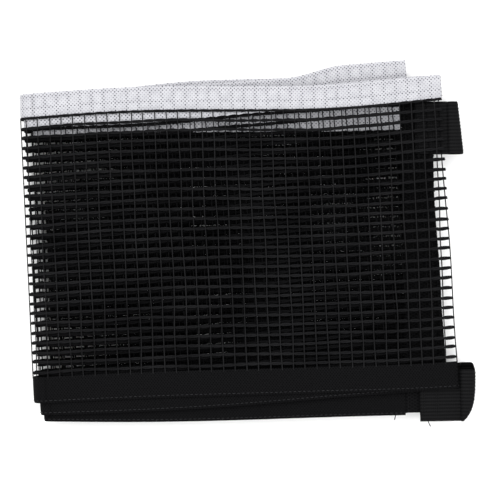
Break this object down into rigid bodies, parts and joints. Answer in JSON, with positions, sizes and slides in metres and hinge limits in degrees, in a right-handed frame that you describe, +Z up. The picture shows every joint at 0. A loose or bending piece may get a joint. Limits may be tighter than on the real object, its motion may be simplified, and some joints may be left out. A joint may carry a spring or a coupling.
{
  "type": "table tennis net",
  "caption": "Table tennis net folded into a flat bundle, black mesh with a white top tape, a black bottom tape and elastic webbing loops at its ends.",
  "frame": {"origin": "middle of the underside of the folded bundle", "axes": "+X along the folded plies towards the net's ends, +Y towards the white top tape, +Z up off the table"},
  "size_m": [0.2262, 0.179, 0.0143],
  "materials": {
    "net_mesh": "matt twisted cord",
    "white_tape": "fine twill weave",
    "black_tape": "twill weave",
    "end_binding": "twill weave",
    "elastic_webbing": "ribbed elastic weave with a low sheen"
  },
  "bodies": {
    "lower_plies": {"mesh_plies_1_2": "net_mesh", "top_tape_plies_1_2": "white_tape", "bottom_tape_plies_1_2": "black_tape", "mesh_plies_5_6": "net_mesh", "top_tape_plies_5_6": "white_tape", "bottom_tape_plies_5_6": "black_tape", "mesh_fold_0_1": "net_mesh", "top_tape_fold_0_1": "white_tape", "bottom_tape_fold_0_1": "black_tape", "mesh_fold_2_3": "net_mesh", "top_tape_fold_2_3": "white_tape", "bottom_tape_fold_2_3": "black_tape", "mesh_fold_4_5": "net_mesh", "top_tape_fold_4_5": "white_tape", "bottom_tape_fold_4_5": "black_tape", "mesh_fold_6_7": "net_mesh", "top_tape_fold_6_7": "white_tape", "bottom_tape_fold_6_7": "black_tape"},
    "upper_plies": {"mesh_plies_3_4": "net_mesh", "top_tape_plies_3_4": "white_tape", "bottom_tape_plies_3_4": "black_tape", "mesh_ply_7": "net_mesh", "top_tape_ply_7": "white_tape", "bottom_tape_ply_7": "black_tape", "mesh_ply_0": "net_mesh", "top_tape_ply_0": "white_tape", "bottom_tape_ply_0": "black_tape", "binding_front_end": "end_binding", "binding_back_end": "end_binding", "loop_tab_front_top": "elastic_webbing", "loop_tab_front_bottom": "elastic_webbing"},
    "front_top_loop": {"loop_front_top": "elastic_webbing"},
    "front_bottom_loop": {"loop_front_bottom": "elastic_webbing"},
    "back_top_loop": {"loop_back_top": "elastic_webbing"},
    "back_bottom_loop": {"loop_back_bottom": "elastic_webbing"}
  },
  "joints": [
    {"name": "half_fold", "type": "hinge", "parent": "lower_plies", "child": "upper_plies", "pos_m": [-0.10272, -0.00042, 0.00685], "axis": [0.048, -0.9988, 0], "range_deg": [0, 180], "deforming": ["mesh_fold_0_1", "top_tape_fold_0_1", "bottom_tape_fold_0_1", "mesh_fold_2_3", "top_tape_fold_2_3", "bottom_tape_fold_2_3", "mesh_fold_4_5", "top_tape_fold_4_5", "bottom_tape_fold_4_5", "mesh_fold_6_7", "top_tape_fold_6_7", "bottom_tape_fold_6_7"]},
    {"name": "front_top_loop_swing", "type": "hinge", "parent": "upper_plies", "child": "front_top_loop", "pos_m": [0.09881, 0.05392, 0.01065], "axis": [-0.0183, 0.9998, 0], "range_deg": [-15, 30], "stiffness_Nm_per_rad": 0.004},
    {"name": "front_bottom_loop_swing", "type": "hinge", "parent": "upper_plies", "child": "front_bottom_loop", "pos_m": [0.10502, -0.07299, 0.01065], "axis": [-0.0183, 0.9998, 0], "range_deg": [-15, 30], "stiffness_Nm_per_rad": 0.004},
    {"name": "back_top_loop_swing", "type": "hinge", "parent": "upper_plies", "child": "back_top_loop", "pos_m": [0.08909, 0.06563, 0.00685], "axis": [0.0724, -0.9974, 0], "range_deg": [0, 135]},
    {"name": "back_bottom_loop_swing", "type": "hinge", "parent": "upper_plies", "child": "back_bottom_loop", "pos_m": [0.09743, -0.04927, 0.00685], "axis": [0.0724, -0.9974, 0], "range_deg": [0, 135]}
  ],
  "couplings": [
    {"joint": "back_top_loop_swing", "follows": "half_fold", "ratio": 0.75},
    {"joint": "back_bottom_loop_swing", "follows": "half_fold", "ratio": 0.75}
  ]
}
